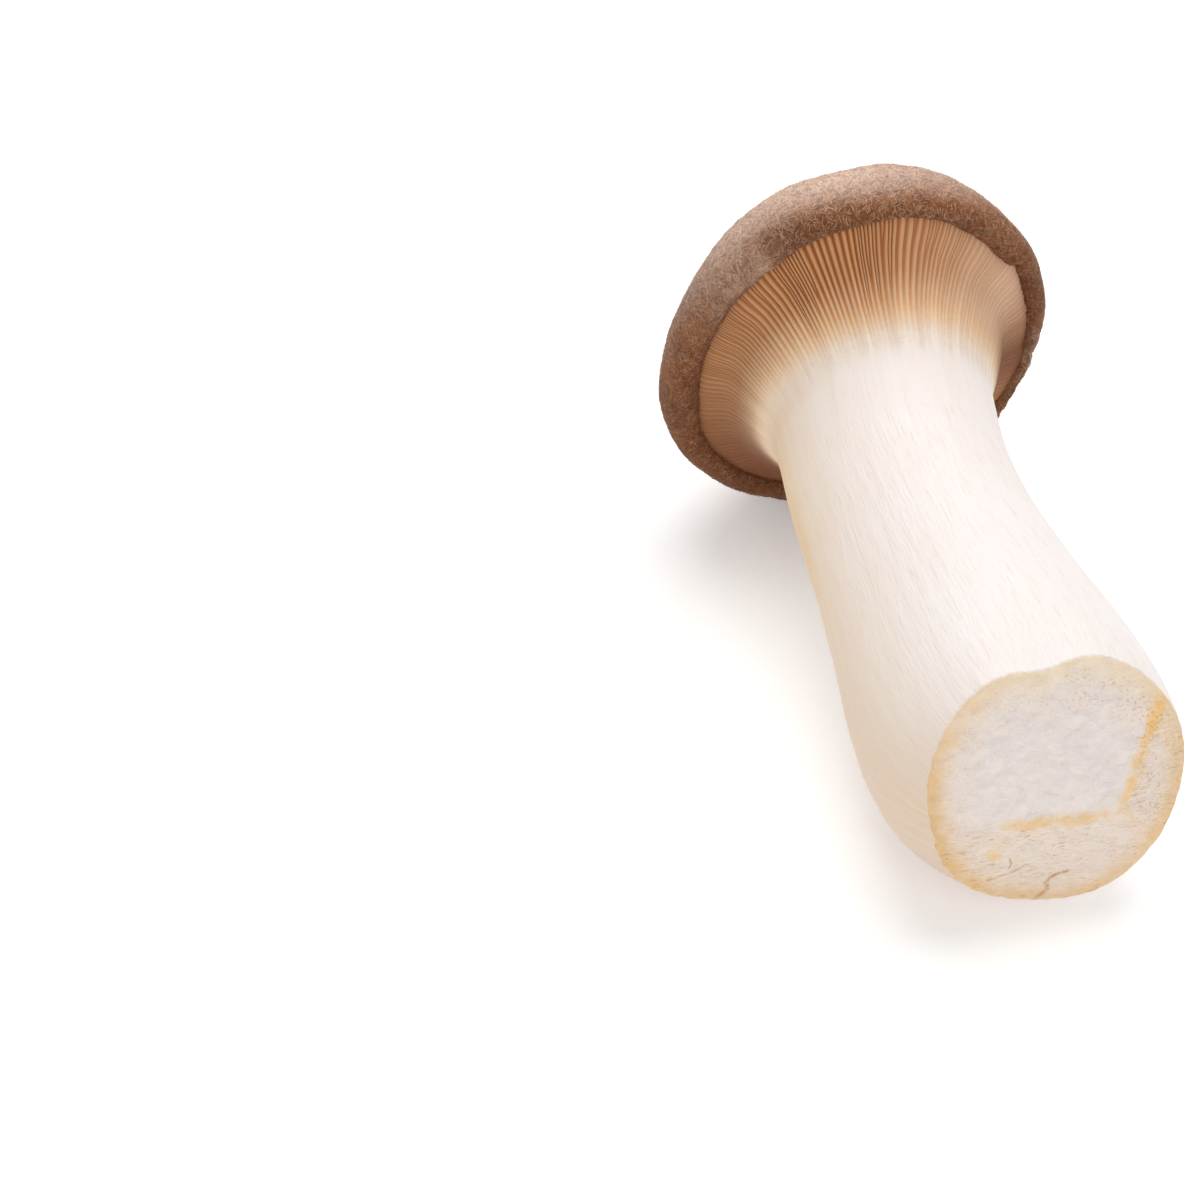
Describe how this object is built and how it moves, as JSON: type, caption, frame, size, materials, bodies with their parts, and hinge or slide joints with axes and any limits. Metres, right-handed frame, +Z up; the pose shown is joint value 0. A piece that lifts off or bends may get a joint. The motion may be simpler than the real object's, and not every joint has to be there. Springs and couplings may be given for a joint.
{
  "type": "king oyster mushroom",
  "caption": "Whole king oyster mushroom lying on its side, with a brown inrolled cap, pale gills running down a thick white stem, and a foot cut off flat.",
  "frame": {"origin": "Middle of the bottom of the bounding box, on the table that the mushroom lies on.", "axes": "+Y from the cut foot to the cap, along the table. +Z up, away from the table. +X to the side."},
  "size_m": [0.0688, 0.1262, 0.0741],
  "materials": {
    "mushroom_flesh": "matte"
  },
  "bodies": {
    "root": {"mushroom": "mushroom_flesh"}
  },
  "joints": []
}
